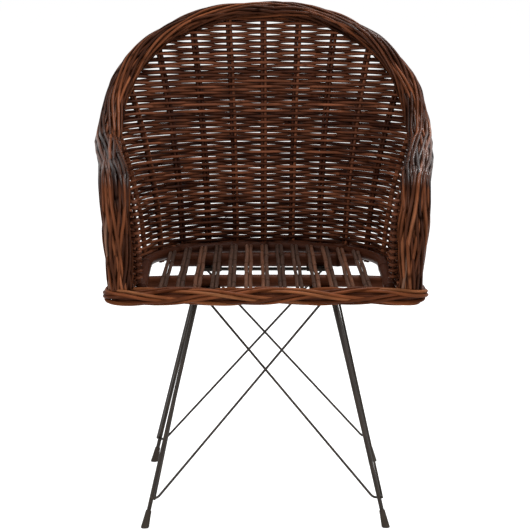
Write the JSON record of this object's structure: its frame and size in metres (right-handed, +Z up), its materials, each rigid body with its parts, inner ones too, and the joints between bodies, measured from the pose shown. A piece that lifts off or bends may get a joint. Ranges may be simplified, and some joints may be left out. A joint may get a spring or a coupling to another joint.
{
  "type": "rattan armchair",
  "caption": "Woven rattan tub armchair with a rolled rim and arms, a slatted rod seat and a splayed wire base with cross braces.",
  "frame": {"origin": "on the floor, at the bottom centre of the chair's box, which is the middle of the four feet", "axes": "+Z up, -Y the way the chair faces, +X to the right in a view from the front"},
  "size_m": [0.607, 0.529, 0.879],
  "materials": {
    "weave": "satin lacquered willow and rattan strands, stained dark brown with reddish strands",
    "pole": "satin stained bent rattan pole",
    "seat_rod": "satin grey-brown bark rods",
    "steel": "satin black-brown powder coat",
    "rubber": "matt dark rubber"
  },
  "bodies": {
    "root": {"woven_wall": "weave", "rim_border": "weave", "front_border": "weave", "bottom_border": "weave", "rim_core": "pole", "seat_hoop": "pole", "seat_front_rail": "pole", "front_cross_rail": "pole", "rear_cross_rail": "pole", "seat_rod_01_a": "seat_rod", "seat_rod_01_b": "seat_rod", "seat_rod_02_a": "seat_rod", "seat_rod_02_b": "seat_rod", "seat_rod_03_a": "seat_rod", "seat_rod_03_b": "seat_rod", "seat_rod_04_a": "seat_rod", "seat_rod_04_b": "seat_rod", "seat_rod_05_a": "seat_rod", "seat_rod_05_b": "seat_rod", "seat_rod_06_a": "seat_rod", "seat_rod_06_b": "seat_rod", "seat_rod_07_a": "seat_rod", "seat_rod_07_b": "seat_rod", "seat_rod_08_a": "seat_rod", "seat_rod_08_b": "seat_rod", "seat_rod_09_a": "seat_rod", "seat_rod_09_b": "seat_rod", "seat_rod_10_a": "seat_rod", "seat_rod_10_b": "seat_rod", "seat_rod_11_a": "seat_rod", "seat_rod_11_b": "seat_rod", "seat_rod_12_a": "seat_rod", "seat_rod_12_b": "seat_rod", "seat_rod_13_a": "seat_rod", "seat_rod_13_b": "seat_rod", "base_ring": "steel", "leg_front_left": "steel", "leg_front_right": "steel", "leg_rear_left": "steel", "leg_rear_right": "steel", "brace_front_outer": "steel", "brace_front_inner": "steel", "brace_rear_outer": "steel", "brace_rear_inner": "steel", "brace_left_outer": "steel", "brace_left_inner": "steel", "brace_right_outer": "steel", "brace_right_inner": "steel", "mount_plate_front_left": "steel", "mount_plate_front_right": "steel", "mount_plate_rear_left": "steel", "mount_plate_rear_right": "steel", "screw_front_left": "steel", "screw_front_right": "steel", "screw_rear_left": "steel", "screw_rear_right": "steel", "foot_front_left": "rubber", "foot_front_right": "rubber", "foot_rear_left": "rubber", "foot_rear_right": "rubber"}
  },
  "joints": []
}
